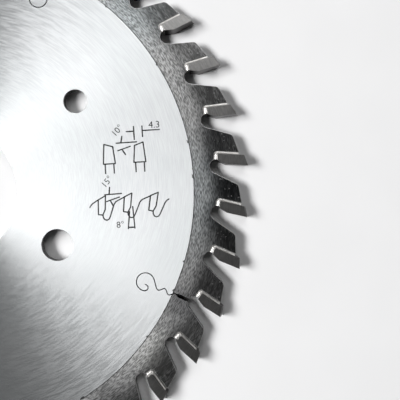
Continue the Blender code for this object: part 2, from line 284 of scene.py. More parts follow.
def rounded(before, corner, after, radius):
    """The arc that rounds a corner between two straight runs."""
    towards_before = (before - corner).normalized()
    towards_after = (after - corner).normalized()
    half_angle = towards_before.angle(towards_after) / 2
    centre = corner + (towards_before + towards_after).normalized() * radius / math.sin(half_angle)
    first = corner + towards_before * radius / math.tan(half_angle) - centre
    last = corner + towards_after * radius / math.tan(half_angle) - centre
    start_angle = math.atan2(first.y, first.x)
    sweep = math.remainder(math.atan2(last.y, last.x) - start_angle, 2 * math.pi)
    return arc(centre, radius, start_angle, sweep)


def circle(centre, radius, sides):
    """A closed ring of points."""
    return [centre + radius * heading(2 * math.pi * side / sides) for side in range(sides)]


def in_blade(point, tooth):
    """A point of a tooth's frame, in the blade's own XY."""
    return Matrix.Rotation(-tooth * PITCH_ANGLE, 2) @ Vector((point.x, -point.y))


def beside(path, distance):
    """A path moved sideways by a distance, positive towards ahead on a run inwards."""
    moved = []
    for place, point in enumerate(path):
        before = path[max(place - 1, 0)]
        after = path[min(place + 1, len(path) - 1)]
        run = (after - before).normalized()
        moved.append(point + distance * Vector((run.y, -run.x)))
    return moved


# Plate outline

def slot_path(mouth_end):
    """The middle line of a slot's narrow part, from the end of its mouth to the end of its curl."""
    wave_start = mouth_end - Vector((SLOT_NECK_LENGTH, SLOT_WAVE_SHIFT))
    path = [mouth_end]
    for step in range(round(SLOT_WAVE_COUNT * STEPS_IN_WAVE) + 1):
        waves = step / STEPS_IN_WAVE
        sideways = SLOT_WAVE_HEIGHT / 2 * (1 - math.cos(2 * math.pi * waves))
        path.append(wave_start + Vector((-waves * SLOT_WAVE_LENGTH, sideways)))
    wave_end = path[-1]
    loop_centre = Vector((wave_end.x - SLOT_LOOP_DROP, mouth_end.y + SLOT_LOOP_SHIFT))
    to_wave_end = wave_end - loop_centre
    loop_start = math.atan2(to_wave_end.y, to_wave_end.x) - math.acos(SLOT_LOOP_RADIUS / to_wave_end.length)
    path += arc(loop_centre, SLOT_LOOP_RADIUS, loop_start, SLOT_LOOP_END - loop_start)
    curl_centre = loop_centre + (SLOT_LOOP_RADIUS - SLOT_CURL_RADIUS) * heading(SLOT_LOOP_END)
    path += arc(curl_centre, SLOT_CURL_RADIUS, SLOT_LOOP_END, -SLOT_CURL_SWEEP)[1:]
    return path


def slot_edge(centre):
    """The slot's whole edge, from the gullet floor behind the mouth to the floor ahead of it."""
    half_mouth = Vector((0.0, SLOT_MOUTH_WIDTH / 2))
    floor = centre - Vector((math.sqrt(GULLET_RADIUS ** 2 - half_mouth.y ** 2), 0.0))
    mouth_end = centre - Vector((GULLET_RADIUS + SLOT_MOUTH_DEPTH, 0.0))
    path = slot_path(mouth_end)
    edge = [floor - half_mouth, mouth_end - half_mouth]
    edge += beside(path, -SLOT_WIDTH / 2)
    edge += reversed(beside(path, SLOT_WIDTH / 2))
    edge += [mouth_end + half_mouth, floor + half_mouth]
    return edge


def back_line():
    """A point and the direction of a tooth's back, which falls away behind the tip."""
    direction = -heading(math.pi / 2 - CLEARANCE_ANGLE)
    return CUTTING_CORNER - TOOTH_BACK_DROP * heading(-CLEARANCE_ANGLE), direction


def seat_top_depth():
    """How deep in the rake frame the wall of a seat meets the back of its tooth."""
    start, direction = back_line()
    wall = CUTTING_CORNER + rake_point(0.0, SEAT_BEHIND)
    top = crossing(wall, heading(HOOK_ANGLE), start, direction)
    return (wall - top).dot(heading(HOOK_ANGLE))


def gullet_floor(centre, start_angle, end_angle, slotted):
    """The round bottom of a gullet, opened for a slot where the tooth has one."""
    if not slotted:
        return arc(centre, GULLET_RADIUS, start_angle, end_angle - start_angle)
    half_opening = math.asin(SLOT_MOUTH_WIDTH / 2 / GULLET_RADIUS)
    behind_mouth = math.pi + half_opening
    ahead_of_mouth = math.pi - half_opening
    floor = arc(centre, GULLET_RADIUS, start_angle, behind_mouth - start_angle)[:-1]
    floor += slot_edge(centre)
    floor += arc(centre, GULLET_RADIUS, ahead_of_mouth, end_angle - ahead_of_mouth)[1:]
    return floor


def tooth_edge(slotted):
    """One tooth of the plate's edge: seat, gullet and the shoulder of the tooth ahead."""
    seat_top = CUTTING_CORNER + rake_point(seat_top_depth(), SEAT_BEHIND)
    seat_corner = CUTTING_CORNER + rake_point(SEAT_DEPTH, SEAT_BEHIND)
    centre = CUTTING_CORNER + rake_point(TIP_LENGTH, -GULLET_AHEAD_OF_RAKE)
    floor_behind = math.sqrt(GULLET_RADIUS ** 2 - (SEAT_DEPTH - TIP_LENGTH) ** 2) - GULLET_AHEAD_OF_RAKE
    seat_front = CUTTING_CORNER + rake_point(SEAT_DEPTH, floor_behind)
    to_seat_front = seat_front - centre
    start_angle = math.atan2(to_seat_front.y, to_seat_front.x) % (2 * math.pi)
    end_angle = GULLET_WALL_ANGLE + math.pi / 2
    wall_start = centre + GULLET_RADIUS * heading(end_angle)
    back_point, back_direction = back_line()
    one_tooth_on = Matrix.Rotation(PITCH_ANGLE, 2)
    next_back_point = one_tooth_on @ back_point
    next_back_direction = one_tooth_on @ back_direction
    shoulder = crossing(wall_start, heading(GULLET_WALL_ANGLE), next_back_point, next_back_direction)
    edge = [seat_top]
    edge += rounded(seat_top, seat_corner, seat_front, SEAT_CORNER_RADIUS)
    edge += gullet_floor(centre, start_angle, end_angle, slotted)
    edge += rounded(wall_start, shoulder, next_back_point, SHOULDER_RADIUS)
    return edge


def plate_outlines():
    """The plate's toothed edge, then its bore and pin holes."""
    rim = []
    for tooth in range(TOOTH_COUNT):
        rim += [in_blade(point, tooth) for point in tooth_edge(tooth in SLOTTED_TEETH)]
    outlines = [rim, circle(Vector((0.0, 0.0)), BORE_DIAMETER / 2, BORE_SIDES)]
    for diameter, reach, angle in PIN_HOLES:
        outlines.append(circle(reach * heading(angle), diameter / 2, PIN_HOLE_SIDES))
    return outlines


# Meshes and pieces

def flat_mesh(name, outlines, thickness):
    """A plate of even thickness, centred on Z, from closed outlines; the inner ones are holes."""
    curve = bpy.data.curves.new(name, "CURVE")
    curve.dimensions = "2D"
    curve.fill_mode = "BOTH"
    curve.extrude = thickness / 2
    for outline in outlines:
        spline = curve.splines.new("POLY")
        spline.points.add(len(outline) - 1)
        for spot, point in zip(spline.points, outline):
            spot.co = (point.x, point.y, 0.0, 1.0)
        spline.use_cyclic_u = True
    holder = bpy.data.objects.new(name, curve)
    bpy.context.scene.collection.objects.link(holder)
    mesh = evaluated_mesh(holder)
    bpy.data.objects.remove(holder)
    bpy.data.curves.remove(curve)
    return mesh


def evaluated_mesh(holder):
    """The mesh of an object with its modifiers applied."""
    evaluated = holder.evaluated_get(bpy.context.evaluated_depsgraph_get())
    return bpy.data.meshes.new_from_object(evaluated)


def cleaned(mesh, flat_angle):
    """The mesh's welded faces, with coplanar ones joined, as a bmesh."""
    body = bmesh.new()
    body.from_mesh(mesh)
    bmesh.ops.remove_doubles(body, verts=body.verts, dist=WELD_DISTANCE)
    bmesh.ops.dissolve_limit(body, angle_limit=flat_angle, verts=body.verts, edges=body.edges)
    bmesh.ops.recalc_face_normals(body, faces=body.faces)
    return body


def round_edges(body, edges, width):
    """A small round along the given edges."""
    bmesh.ops.bevel(
        body, geom=edges, offset=width, offset_type="OFFSET", segments=EDGE_SEGMENTS, profile=0.5,
        affect="EDGES", clamp_overlap=False,
    )


def piece(name, mesh, materials):
    """A new piece of the blade that rides on its body."""
    made = bpy.data.objects.new(name, mesh)
    bpy.context.scene.collection.objects.link(made)
    for material in materials:
        made.data.materials.append(material)
    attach(made, BODY)
    return made


def shade(made):
    """Smooth shading that keeps flat faces flat and real corners sharp."""
    made.data.shade_smooth()
    made.data.set_sharp_from_angle(angle=SHARP_ANGLE)
    weighted = made.modifiers.new("flat faces stay flat", "WEIGHTED_NORMAL")
    weighted.weight = FLAT_FACE_WEIGHT
    weighted.keep_sharp = True


# Plate

def rim_relief_cutter(side):
    """A turned ring that takes the rim down on one side of the plate."""
    outer = CUTTING_RADIUS + OVERRUN
    low, high = sorted((side * RIM_TOP, side * (HUB_TOP + OVERRUN)))
    corners = [(outer, high), (outer, low), (GROUND_FACE_RADIUS, low), (GROUND_FACE_RADIUS, high)]
    body = bmesh.new()
    ring = [body.verts.new((out, 0.0, height)) for out, height in corners]
    for place, corner in enumerate(ring):
        body.edges.new((corner, ring[(place + 1) % len(ring)]))
    mesh = bpy.data.meshes.new("rim_relief")
    body.to_mesh(mesh)
    body.free()
    cutter = bpy.data.objects.new("rim_relief", mesh)
    bpy.context.scene.collection.objects.link(cutter)
    screw = cutter.modifiers.new("turn", "SCREW")
    screw.axis = "Z"
    screw.steps = GROUND_FACE_SIDES
    screw.render_steps = GROUND_FACE_SIDES
    screw.use_merge_vertices = True
    screw.merge_threshold = WELD_DISTANCE
    return cutter


def relieved_plate():
    """The plate's mesh with both sides of its rim taken down."""
    blank = bpy.data.objects.new("blank", flat_mesh("blank", plate_outlines(), PLATE_THICKNESS))
    bpy.context.scene.collection.objects.link(blank)
    body = cleaned(blank.data, FLAT_ANGLE)
    body.to_mesh(blank.data)
    body.free()
    cutters = [rim_relief_cutter(side) for side in (1, -1)]
    for cutter in cutters:
        modifier = blank.modifiers.new("rim relief", "BOOLEAN")
        modifier.operation = "DIFFERENCE"
        modifier.solver = "EXACT"
        modifier.object = cutter
    mesh = evaluated_mesh(blank)
    for helper in (blank, *cutters):
        bpy.data.objects.remove(helper)
    return mesh


def is_flat(face):
    """Whether a face lies level, on one of the blade's two sides."""
    return abs(face.normal.z) > LEVEL_NORMAL


def plate_corners(body):
    """The edges between a level face and a wall, apart from the step and the narrow parts of the slots."""
    corners = []
    for edge in body.edges:
        levels = sum(is_flat(face) for face in edge.link_faces)
        reaches = [vert.co.xy.length for vert in edge.verts]
        on_step = all(abs(reach - GROUND_FACE_RADIUS) < STEP_TOLERANCE for reach in reaches)
        in_slot = all(SHARP_SLOTS_FROM < reach < SHARP_SLOTS_TO for reach in reaches)
        if levels == 1 and not on_step and not in_slot:
            corners.append(edge)
    return corners


def make_plate(hub_steel, rim_steel, wall_steel):
    """The steel plate, with its own finish on the hub face, the rim and the cut walls."""
    mesh = relieved_plate()
    body = cleaned(mesh, FLAT_ANGLE)
    round_edges(body, plate_corners(body), PLATE_EDGE)
    bmesh.ops.remove_doubles(body, verts=body.verts, dist=FINE_WELD_DISTANCE)
    bmesh.ops.dissolve_degenerate(body, edges=body.edges, dist=FINE_WELD_DISTANCE)
    on_hub = (RIM_TOP + HUB_TOP) / 2
    for face in body.faces:
        face.material_index = 2
        if is_flat(face):
            face.material_index = 0 if abs(face.calc_center_median().z) > on_hub else 1
    body.to_mesh(mesh)
    body.free()
    plate = piece("steel_plate", mesh, (hub_steel, rim_steel, wall_steel))
    shade(plate)
    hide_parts("blade_plate")


# Carbide tips

def make_tips(carbide):
    """Each tip of the frame with its ground edges very slightly rounded."""
    for tooth in range(TOOTH_COUNT):
        node = f"carbide_tip_{tooth + 1:02d}"
        body = cleaned(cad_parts[node].data, TIP_FLAT_ANGLE)
        edges = [edge for edge in body.edges if edge.calc_face_angle(0.0) > TIP_EDGE_ANGLE]
        round_edges(body, edges, TIP_EDGE)
        mesh = bpy.data.meshes.new(node)
        body.to_mesh(mesh)
        body.free()
        tip = piece(f"ground_tip_{tooth + 1:02d}", mesh, (carbide,))
        shade(tip)
        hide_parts(node)


# Brazed joints

def joint_side(foot_depth, wall_behind, corner_radius):
    """One side of a joint as (depth, behind): down the wall, round the corner and along the foot."""
    top = seat_top_depth() + BRAZE_TOP_SETBACK
    corner = (foot_depth - corner_radius, wall_behind - corner_radius)
    side = []
    for step in range(BRAZE_WALL_STEPS):
        side.append((top + (corner[0] - top) * step / BRAZE_WALL_STEPS, wall_behind))
    for step in range(BRAZE_CORNER_STEPS):
        turn = math.pi / 2 * step / BRAZE_CORNER_STEPS
        side.append((corner[0] + corner_radius * math.sin(turn), corner[1] + corner_radius * math.cos(turn)))
    for step in range(BRAZE_FOOT_STEPS + 1):
        side.append((foot_depth, corner[1] + (BRAZE_END_BEHIND - corner[1]) * step / BRAZE_FOOT_STEPS))
    return [Vector(point) for point in side]


def tip_side_height(depth, behind):
    """The height of a tip's side face over the blade's middle plane."""
    flare = (KERF_AT_ROOT - KERF_AT_EDGE) / 2 / TIP_LENGTH
    return KERF_AT_EDGE / 2 + flare * depth - math.tan(SIDE_CLEARANCE_ANGLE) * behind


def joint_section(at_tip, at_seat, hollow, spread, drop):
    """The closed outline across a joint, as (depth, behind, height), with a fillet above and below."""
    across = at_seat - at_tip
    reach = across + across.normalized() * spread
    top = tip_side_height(*at_tip) - drop
    upper = []
    for step in range(BRAZE_FILLET_STEPS + 1):
        out = step / BRAZE_FILLET_STEPS
        height = RIM_TOP - BRAZE_SINK + (top - RIM_TOP + BRAZE_SINK) * (1 - out) ** hollow
        upper.append((*(at_tip + out * reach), height))
    upper.append((*at_seat, RIM_TOP - 2 * BRAZE_SINK))
    lower = [(depth, behind, -height) for depth, behind, height in reversed(upper)]
    return upper + lower


def braze_mesh(tooth, draw):
    """The solder of one joint, lofted along its seat, with a little of the unevenness of hand work."""
    at_tip = joint_side(TIP_LENGTH, TIP_THICKNESS, TIP_FOOT_RADIUS)
    at_seat = joint_side(SEAT_DEPTH, SEAT_BEHIND, SEAT_CORNER_RADIUS)
    spread_phase = draw.uniform(0.0, 2 * math.pi)
    drop_phase = draw.uniform(0.0, 2 * math.pi)
    ripples = draw.uniform(*BRAZE_RIPPLES)
    body = bmesh.new()
    rings = []
    for place, (tip_spot, seat_spot) in enumerate(zip(at_tip, at_seat)):
        share = place / (len(at_tip) - 1)
        wave = 2 * math.pi * ripples * share
        end = share ** BRAZE_END_POWER
        round_off = 1 - math.sqrt(1 - end ** BRAZE_NOSE_POWER)
        spread = BRAZE_SPREAD + BRAZE_FOOT_SPREAD * share ** BRAZE_FOOT_POWER + BRAZE_END_SPREAD * round_off
        spread += BRAZE_VARIATION * math.sin(wave + spread_phase)
        drop = BRAZE_BELOW_TIP_EDGE + BRAZE_VARIATION * (1 + math.sin(wave + drop_phase)) / 2
        drop += BRAZE_END_DROP * round_off
        hollow = BRAZE_HOLLOW + BRAZE_FOOT_HOLLOW * share - BRAZE_END_FILL * end
        ring = []
        for depth, behind, height in joint_section(tip_spot, seat_spot, hollow, spread, drop):
            spot = in_blade(CUTTING_CORNER + rake_point(depth, behind), tooth)
            ring.append(body.verts.new((spot.x, spot.y, height)))
        rings.append(ring)
    for ring, next_ring in zip(rings, rings[1:]):
        for place in range(len(ring)):
            after = (place + 1) % len(ring)
            body.faces.new((ring[place], ring[after], next_ring[after], next_ring[place]))
    body.faces.new(rings[0])
    body.faces.new(rings[-1])
    bmesh.ops.recalc_face_normals(body, faces=body.faces)
    mesh = bpy.data.meshes.new("braze")
    body.to_mesh(mesh)
    body.free()
    return mesh


def make_braze(silver):
    """The solder of every joint."""
    draw = random.Random(BRAZE_SEED)
    for tooth in range(TOOTH_COUNT):
        joint = piece(f"braze_joint_{tooth + 1:02d}", braze_mesh(tooth, draw), (silver,))
        shade(joint)


# Printed sketches, drawn in millimetres about the middle of the print

TOOTH_FRONT_BASE = 4.0
TOOTH_FRONT_TOP = 10.6
TOOTH_FRONT_LOW_CORNER = 9.65
TOOTH_FRONT_HALF_BASE = 2.0
TOOTH_FRONT_HALF_TOP = 1.45
TOOTH_FRONT_HALF_SHANK = 1.45
TOOTH_FRONT_SHANK_END = 0.8
LEFT_FRONT = -4.65
RIGHT_FRONT = 5.55
SIDE_CORNER = Vector((2.2, -6.2))
SIDE_PITCH = math.radians(3.9)
SIDE_RADIUS = 130.0
TIP_SIDE = ((0.0, 0.0), (-0.7, -4.6), (-1.7, -6.3), (-3.15, -6.0), (-2.6, -1.1), (0.0, 0.0))
GULLET_SIDE = ((-1.7, -6.3), (-1.65, -7.2), (-1.2, -7.95), (-0.5, -8.2), (0.2, -7.9), (0.7, -7.1))
NEXT_BACK_SIDE = ((0.7, -7.1), (2.5, -3.2), (3.1, -2.5), (4.0, -2.1), (6.2, -1.3))
LAST_BACK_SIDE = ((0.7, -7.1), (2.3, -3.4), (2.8, -2.7), (3.6, -2.2))
FIRST_BACK_SIDE = ((-2.6, -1.1), (-4.6, -2.1), (-5.3, -2.7), (-5.7, -3.3))
ARROW_LENGTH = 1.25
ARROW_HALF_WIDTH = 0.3

# Each dimension's two witness lines, then its two arrows from tail to head
KERF_DIMENSION = (
    (((4.15, 16.0), (4.15, 11.6)), ((6.98, 16.0), (6.98, 12.4))),
    (((1.6, 14.4), (4.0, 14.4)), ((12.8, 14.45), (7.15, 14.45))),
)
BEVEL_DIMENSION = (
    (((-2.0, 10.75), (4.9, 10.8)), ((-1.6, 8.2), (2.7, 9.45))),
    (((0.05, 13.0), (-0.35, 10.95)), ((0.95, 6.75), (-0.1, 8.5))),
)
CLEARANCE_DIMENSION = (
    (((-6.9, -6.2), (-1.2, -6.1)), ((-6.4, -8.5), (-2.0, -7.25))),
    (((-5.1, -3.8), (-5.4, -6.0)), ((-4.2, -10.2), (-5.1, -8.3))),
)
HOOK_DIMENSION = (
    (((1.05, -12.3), (0.3, -18.0)), ((2.2, -10.7), (2.5, -18.0))),
    (((1.45, -17.6), (0.45, -17.6)), ((1.35, -17.6), (2.35, -17.6))),
)

# Each number's text, middle, size and turn
NUMBERS = (
    ("4.3", (11.1, 16.1), DIGIT_SIZE, 0.0),
    ("10°", (-1.35, 14.9), DEGREE_DIGIT_SIZE, math.radians(44.0)),
    ("15°", (-5.85, -1.95), DEGREE_DIGIT_SIZE, math.radians(45.0)),
    ("8°", (-2.3, -16.6), DEGREE_DIGIT_SIZE, 0.0),
)


def in_print(x, y):
    """A point of the print, in millimetres, as a place on the blade."""
    return PRINT_MIDDLE + Matrix.Rotation(PRINT_TURN, 2) @ (MM * Vector((x, y)))


def prism(body, outline):
    """A thin closed slab of ink from its outline on the blade."""
    low = [body.verts.new((point.x, point.y, HUB_TOP)) for point in outline]
    high = [body.verts.new((point.x, point.y, HUB_TOP + INK_HEIGHT)) for point in outline]
    body.faces.new(high)
    body.faces.new(reversed(low))
    for place in range(len(outline)):
        after = (place + 1) % len(outline)
        body.faces.new((low[place], low[after], high[after], high[place]))


def stroke(body, points):
    """A line of ink through points of the print."""
    path = [in_print(x, y) for x, y in points]
    half = INK_WIDTH / 2
    for start, end in zip(path, path[1:]):
        along = (end - start).normalized() * half
        side = Vector((-along.y, along.x))
        nose = STROKE_END_SHARE * along
        flank = STROKE_END_SHARE * side
        ends = [end - side, end + nose - flank, end + nose + flank, end + side]
        starts = [start + side, start - nose + flank, start - nose - flank, start - side]
        prism(body, ends + starts)


def arrow(body, tail, head):
    """A line of ink with a filled point at its end."""
    stroke(body, (tail, head))
    head = Vector(head)
    along = (head - Vector(tail)).normalized()
    side = ARROW_HALF_WIDTH * Vector((-along.y, along.x))
    base = head - ARROW_LENGTH * along
    prism(body, [in_print(*corner) for corner in (head, base + side, base - side)])


def front_view(body, middle, high_side):
    """A tooth seen from the front: a tapered tip with a bevelled top, on its shank."""
    corners = {}
    for side in (-1, 1):
        height = TOOTH_FRONT_TOP if side == high_side else TOOTH_FRONT_LOW_CORNER
        corners[side] = (middle + side * TOOTH_FRONT_HALF_TOP, height)
        foot = (middle + side * TOOTH_FRONT_HALF_BASE, TOOTH_FRONT_BASE)
        stroke(body, (corners[side], foot))
        shank = middle + side * TOOTH_FRONT_HALF_SHANK
        stroke(body, ((shank, TOOTH_FRONT_BASE), (shank, TOOTH_FRONT_SHANK_END)))
    stroke(body, (corners[-1], corners[1]))
    left_foot = (middle - TOOTH_FRONT_HALF_BASE, TOOTH_FRONT_BASE)
    stroke(body, (left_foot, (middle + TOOTH_FRONT_HALF_BASE, TOOTH_FRONT_BASE)))


def on_side_view(points, tooth):
    """Points of a tooth's side view, moved along the sketched blade's edge by a number of teeth."""
    centre = SIDE_CORNER - Vector((0.0, SIDE_RADIUS))
    turn = Matrix.Rotation(-tooth * SIDE_PITCH, 2)
    return [tuple(centre + turn @ (SIDE_CORNER + Vector(point) - centre)) for point in points]


def side_view(body):
    """Three teeth seen from the side, with their gullets."""
    for tooth in (-1, 0, 1):
        stroke(body, on_side_view(TIP_SIDE, tooth))
        stroke(body, on_side_view(GULLET_SIDE, tooth))
        stroke(body, on_side_view(LAST_BACK_SIDE if tooth == 1 else NEXT_BACK_SIDE, tooth))
    stroke(body, on_side_view(FIRST_BACK_SIDE, -1))


def dimension(body, lines, arrows):
    """One dimension of the sketches: its witness lines, then its arrows."""
    for line in lines:
        stroke(body, line)
    for tail, head in arrows:
        arrow(body, tail, head)


def add_number(body, text, middle, size, turn):
    """A plain number, centred on a point of the print."""
    curve = bpy.data.curves.new("number", "FONT")
    curve.body = text
    curve.size = size
    curve.align_x = "CENTER"
    curve.align_y = "CENTER"
    curve.extrude = INK_HEIGHT / 2
    curve.resolution_u = DIGIT_CURVE_STEPS
    holder = bpy.data.objects.new("number", curve)
    bpy.context.scene.collection.objects.link(holder)
    mesh = evaluated_mesh(holder)
    spot = in_print(*middle)
    shift = Matrix.Translation((spot.x, spot.y, HUB_TOP + INK_HEIGHT / 2))
    mesh.transform(shift @ Matrix.Rotation(PRINT_TURN + turn, 4, "Z"))
    body.from_mesh(mesh)
    bpy.data.objects.remove(holder)


def make_print(ink):
    """The tooth sketches with their numbers, printed on the upper hub face."""
    body = bmesh.new()
    front_view(body, LEFT_FRONT, -1)
    front_view(body, RIGHT_FRONT, 1)
    side_view(body)
    for lines, arrows in (KERF_DIMENSION, BEVEL_DIMENSION, CLEARANCE_DIMENSION, HOOK_DIMENSION):
        dimension(body, lines, arrows)
    for text, middle, size, turn in NUMBERS:
        add_number(body, text, middle, size, turn)
    bmesh.ops.remove_doubles(body, verts=body.verts, dist=FINE_WELD_DISTANCE)
    mesh = bpy.data.meshes.new("print")
    body.to_mesh(mesh)
    body.free()
    piece("printed_sketches", mesh, (ink,))


# Materials

class Nodes:
    """A node tree and short ways to add to it."""

    def __init__(self, tree):
        self.tree = tree
        self.nodes = tree.nodes

    def link(self, value, socket):
        """Gives a socket a value, or the output of another node."""
        if isinstance(value, bpy.types.NodeSocket):
            self.tree.links.new(value, socket)
        else:
            socket.default_value = value

    def add(self, kind, *values, **settings):
        """A node with its settings, and its inputs filled in order; None leaves one as it is."""
        node = self.nodes.new("ShaderNode" + kind)
        for name, value in settings.items():
            setattr(node, name, value)
        for socket, value in zip(node.inputs, values):
            if value is not None:
                self.link(value, socket)
        return node

    def maths(self, operation, *values):
        """A number worked out from others."""
        return self.add("Math", *values, operation=operation).outputs[0]

    def vector(self, operation, *values):
        """A vector worked out from others."""
        return self.add("VectorMath", *values, operation=operation).outputs[0]

    def share_along(self, vector, direction):
        """How far a vector reaches in a direction."""
        return self.add("VectorMath", vector, direction, operation="DOT_PRODUCT").outputs["Value"]

    def ramp(self, value, low, high, at_low=0.0, at_high=1.0):
        """A number that runs smoothly from one value to another between two marks."""
        node = self.add("MapRange", value, low, high, at_low, at_high, interpolation_type="SMOOTHSTEP")
        return node.outputs[0]

    def noise(self, vector, scale, detail=2.0, roughness=0.5):
        """Even three-dimensional noise about 0.5."""
        return self.add("TexNoise", vector, None, scale, detail, roughness).outputs[0]

    def seen_or_mirrored(self):
        """One for what the camera sees itself or in metal, and nothing for the light on other surfaces."""
        rays = self.add("LightPath").outputs
        seen = self.maths("ADD", rays["Is Camera Ray"], rays["Is Glossy Ray"])
        return self.maths("MINIMUM", self.maths("ADD", seen, rays["Is Transmission Ray"]), 1.0)

    def mix(self, share, first, second, blend="MIX"):
        """A colour between two others."""
        node = self.add("Mix", data_type="RGBA", blend_type=blend, clamp_result=True)
        self.link(share, node.inputs["Factor"])
        self.link(first, node.inputs[6])
        self.link(second, node.inputs[7])
        return node.outputs[2]


class Finish(Nodes):
    """A material of the blade or the floor, with patterns laid out in the piece's own space."""

    def __init__(self, name, metallic):
        self.material = bpy.data.materials.new(name)
        self.material.use_nodes = True
        super().__init__(self.material.node_tree)
        self.shader = self.nodes["Principled BSDF"]
        self.shader.inputs["Metallic"].default_value = metallic
        self.place = self.add("TexCoord").outputs["Object"]

    def reach(self, centre=(0.0, 0.0)):
        """The distance and the direction from a point of the blade's plane."""
        flat = self.vector("MULTIPLY", self.place, (1.0, 1.0, 0.0))
        offset = self.vector("SUBTRACT", flat, (*centre, 0.0))
        distance = self.add("VectorMath", offset, operation="LENGTH").outputs["Value"]
        return distance, self.vector("NORMALIZE", offset)

    def strokes(self, centre, along, across, detail=3.0):
        """Noise drawn out along circles about a point: cells per radian along, cells per metre across."""
        distance, direction = self.reach(centre)
        parts = self.add("SeparateXYZ", direction).outputs
        turned = [self.maths("MULTIPLY", part, along) for part in (parts[0], parts[1])]
        cells = self.add("CombineXYZ", *turned, self.maths("MULTIPLY", distance, across)).outputs[0]
        return self.noise(cells, 1.0, detail, 0.6)

    def crossed(self, centres, along, across):
        """Short fine scratches along circles about several points, which cross at small angles."""
        families = [self.strokes(centre, along, across, 0.0) for centre in centres]
        total = families[0]
        for family in families[1:]:
            total = self.maths("ADD", total, family)
        count = len(families)
        return self.ramp(total, (0.5 - SCRATCH_SOFTNESS) * count, (0.5 + SCRATCH_SOFTNESS) * count)

    def bump(self, height, distance, strength):
        """Relief on the shader's normal."""
        node = self.add("Bump", strength, distance)
        self.link(height, node.inputs["Height"])
        self.link(node.outputs[0], self.shader.inputs["Normal"])

    def finish(self, colour, roughness):
        """The material, with its colour and roughness, each a value or the output of a node."""
        self.link(colour, self.shader.inputs["Base Color"])
        self.link(roughness, self.shader.inputs["Roughness"])
        return self.material


def grey(level, warmth=0.0):
    """A grey as linear colour, warmer or cooler by a share."""
    return (level * (1 + warmth), level, level * (1 - warmth), 1.0)


def hub_steel():
    """Bright ground steel with fine arcs that cross at a small angle."""
    look = Finish("hub_steel", metallic=1.0)
    arcs = look.crossed(HUB_ARC_CENTRES, *HUB_ARC_CELLS)
    clouds = look.ramp(look.noise(look.place, 45.0, 2.0), *CRISP_NOISE)
    cloudy = look.mix(clouds, *HUB_CLOUD_COLOURS)
    colour = look.mix(look.ramp(arcs, 0.0, 1.0, 0.24, 0.0), cloudy, HUB_ARC_COLOUR)
    distance, outwards = look.reach()
    # Painted shade: a dark line along the hub face's edge at the step down to the rim, ragged in places
    ragged_reach = look.ramp(look.noise(look.place, 450.0, 0.0), 0.7, 0.74, 0.0, HUB_EDGE_SHADE_RAGGEDNESS)
    ragged_distance = look.maths("ADD", distance, ragged_reach)
    edge = look.ramp(ragged_distance, GROUND_FACE_RADIUS - HUB_EDGE_SHADE_WIDTH, GROUND_FACE_RADIUS)
    colour = look.mix(edge, colour, grey(0.06))
    sway = look.ramp(arcs, 0.0, 1.0, -HUB_ARC_SWAY, HUB_ARC_SWAY)
    along = look.add("Tangent", direction_type="RADIAL", axis="Z").outputs[0]
    swayed = look.vector("MULTIPLY_ADD", outwards, sway, along)
    look.link(look.vector("NORMALIZE", swayed), look.shader.inputs["Tangent"])
    look.shader.inputs["Anisotropic"].default_value = 1.0
    look.shader.inputs["Anisotropic Rotation"].default_value = 0.25
    look.bump(arcs, distance=0.003 * MM, strength=0.3)
    return look.finish(colour, look.ramp(arcs, 0.0, 1.0, 0.38, 0.4))


def rim_steel():
    """Darker steel with short strokes, close near the hub face and fainter on the smoother teeth."""
    look = Finish("rim_steel", metallic=1.0)
    distance, _ = look.reach()
    wander = look.ramp(look.noise(look.place, 60.0, 3.0), *SOFT_NOISE, -RIM_WANDER, RIM_WANDER)
    smoother = look.ramp(look.maths("ADD", distance, wander), *RIM_SMOOTHER)
    hatch = look.crossed(RIM_STROKE_CENTRES, *RIM_STROKE_CELLS)
    bands = look.ramp(look.strokes((0.0, 0.0), *RIM_BAND_CELLS), *SOFT_NOISE)
    near = look.mix(hatch, *map(grey, RIM_NEAR_LEVELS))
    far = look.mix(look.maths("MULTIPLY", bands, hatch), *map(grey, RIM_FAR_LEVELS))
    steel = look.mix(smoother, near, far)
    # Painted light and shade: paler and darker patches laid over the rim's steel
    for centre, patch_reach, tint in RIM_PAINTED_LIGHT_AND_SHADE:
        away, _ = look.reach(centre)
        share = look.ramp(away, PATCH_CORE, patch_reach, PATCH_STRENGTH, 0.0)
        steel = look.mix(share, steel, (*tint, 1.0), "MULTIPLY")
    specks = look.ramp(look.noise(look.place, 1500.0, 0.0), 0.76, 0.8)
    steel = look.mix(look.maths("MULTIPLY", specks, smoother), steel, grey(0.55))
    # Painted shade: a dark line on the rim at the foot of the step from the hub face
    step_shade = look.ramp(distance, *RIM_STEP_SHADE, 0.85, 0.0)
    colour = look.mix(step_shade, steel, grey(0.03))
    relief = look.maths("MULTIPLY", hatch, look.ramp(smoother, 0.0, 1.0, 1.0, 0.3))
    look.bump(relief, distance=0.01 * MM, strength=0.4)
    return look.finish(colour, look.ramp(smoother, 0.0, 1.0, 0.42, 0.33))


